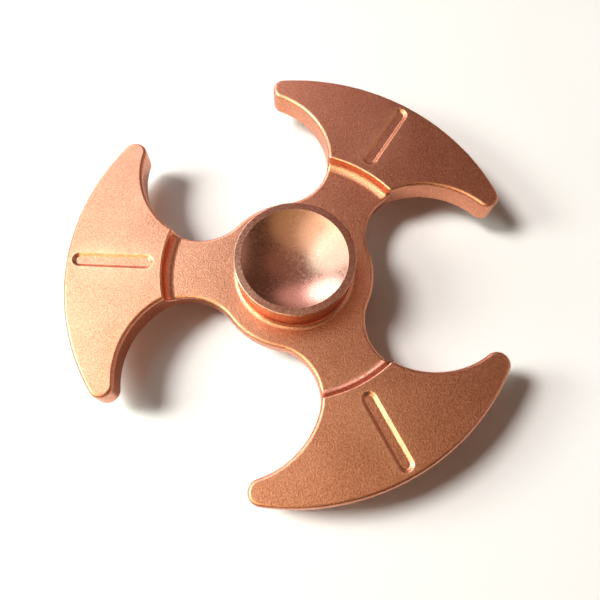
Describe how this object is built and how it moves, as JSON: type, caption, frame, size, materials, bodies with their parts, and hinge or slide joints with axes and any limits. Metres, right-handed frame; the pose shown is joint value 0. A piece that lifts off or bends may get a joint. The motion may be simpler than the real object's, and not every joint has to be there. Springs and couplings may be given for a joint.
{
  "type": "fidget spinner",
  "caption": "Hand-held fidget spinner: stepped, axe-shaped weights on arms around a ball bearing hub, held between dished finger caps.",
  "frame": {"origin": "centre of the bearing, on the spin axis, half way between the two finger caps", "axes": "+Z along the spin axis towards the cap on the stepped face; one arm points along -X, the others at 60 degrees to either side of +X; +Y completes the right-handed frame"},
  "size_m": [0.0593, 0.062, 0.011],
  "materials": {
    "rose_gold": "rose gold anodised over a fine bead blast, satin, with brighter worn edges",
    "rose_gold_cap": "rose gold anodised, fine satin, smoother than the body",
    "bearing_steel": "ground and polished bearing steel",
    "cage_brass": "plain brass",
    "dark_steel": "oiled dark steel"
  },
  "bodies": {
    "finger_caps": {"top_cap": "rose_gold_cap", "bottom_cap": "rose_gold_cap", "cap_stud": "dark_steel", "inner_race": "bearing_steel"},
    "rotor": {"spinner_body": "rose_gold", "outer_race": "bearing_steel", "upper_shield": "bearing_steel", "lower_shield": "bearing_steel", "bearing_lock_ring": "dark_steel"},
    "cage": {"ball_cage": "cage_brass"},
    "rolling_ball_01": {"ball_01": "bearing_steel"},
    "rolling_ball_02": {"ball_02": "bearing_steel"},
    "rolling_ball_03": {"ball_03": "bearing_steel"},
    "rolling_ball_04": {"ball_04": "bearing_steel"},
    "rolling_ball_05": {"ball_05": "bearing_steel"},
    "rolling_ball_06": {"ball_06": "bearing_steel"},
    "rolling_ball_07": {"ball_07": "bearing_steel"},
    "rolling_ball_08": {"ball_08": "bearing_steel"},
    "rolling_ball_09": {"ball_09": "bearing_steel"},
    "rolling_ball_10": {"ball_10": "bearing_steel"}
  },
  "joints": [
    {"name": "body_spin", "type": "hinge", "parent": "finger_caps", "child": "rotor", "pos_m": [0, 0, 0], "axis": [0, 0, 1], "continuous": true},
    {"name": "cage_orbit", "type": "hinge", "parent": "finger_caps", "child": "cage", "pos_m": [0, 0, 0], "axis": [0, 0, 1], "continuous": true},
    {"name": "ball_01_roll", "type": "hinge", "parent": "cage", "child": "rolling_ball_01", "pos_m": [0.00476, 0, 0], "axis": [0, 0, 1], "continuous": true},
    {"name": "ball_02_roll", "type": "hinge", "parent": "cage", "child": "rolling_ball_02", "pos_m": [0.00385, 0.0028, 0], "axis": [0, 0, 1], "continuous": true},
    {"name": "ball_03_roll", "type": "hinge", "parent": "cage", "child": "rolling_ball_03", "pos_m": [0.00147, 0.00453, 0], "axis": [0, 0, 1], "continuous": true},
    {"name": "ball_04_roll", "type": "hinge", "parent": "cage", "child": "rolling_ball_04", "pos_m": [-0.00147, 0.00453, 0], "axis": [0, 0, 1], "continuous": true},
    {"name": "ball_05_roll", "type": "hinge", "parent": "cage", "child": "rolling_ball_05", "pos_m": [-0.00385, 0.0028, 0], "axis": [0, 0, 1], "continuous": true},
    {"name": "ball_06_roll", "type": "hinge", "parent": "cage", "child": "rolling_ball_06", "pos_m": [-0.00476, 0, 0], "axis": [0, 0, 1], "continuous": true},
    {"name": "ball_07_roll", "type": "hinge", "parent": "cage", "child": "rolling_ball_07", "pos_m": [-0.00385, -0.0028, 0], "axis": [0, 0, 1], "continuous": true},
    {"name": "ball_08_roll", "type": "hinge", "parent": "cage", "child": "rolling_ball_08", "pos_m": [-0.00147, -0.00453, 0], "axis": [0, 0, 1], "continuous": true},
    {"name": "ball_09_roll", "type": "hinge", "parent": "cage", "child": "rolling_ball_09", "pos_m": [0.00147, -0.00453, 0], "axis": [0, 0, 1], "continuous": true},
    {"name": "ball_10_roll", "type": "hinge", "parent": "cage", "child": "rolling_ball_10", "pos_m": [0.00385, -0.0028, 0], "axis": [0, 0, 1], "continuous": true}
  ],
  "couplings": [
    {"joint": "cage_orbit", "follows": "body_spin", "ratio": 0.58333},
    {"joint": "ball_01_roll", "follows": "body_spin", "ratio": 2.9167},
    {"joint": "ball_02_roll", "follows": "body_spin", "ratio": 2.9167},
    {"joint": "ball_03_roll", "follows": "body_spin", "ratio": 2.9167},
    {"joint": "ball_04_roll", "follows": "body_spin", "ratio": 2.9167},
    {"joint": "ball_05_roll", "follows": "body_spin", "ratio": 2.9167},
    {"joint": "ball_06_roll", "follows": "body_spin", "ratio": 2.9167},
    {"joint": "ball_07_roll", "follows": "body_spin", "ratio": 2.9167},
    {"joint": "ball_08_roll", "follows": "body_spin", "ratio": 2.9167},
    {"joint": "ball_09_roll", "follows": "body_spin", "ratio": 2.9167},
    {"joint": "ball_10_roll", "follows": "body_spin", "ratio": 2.9167}
  ]
}
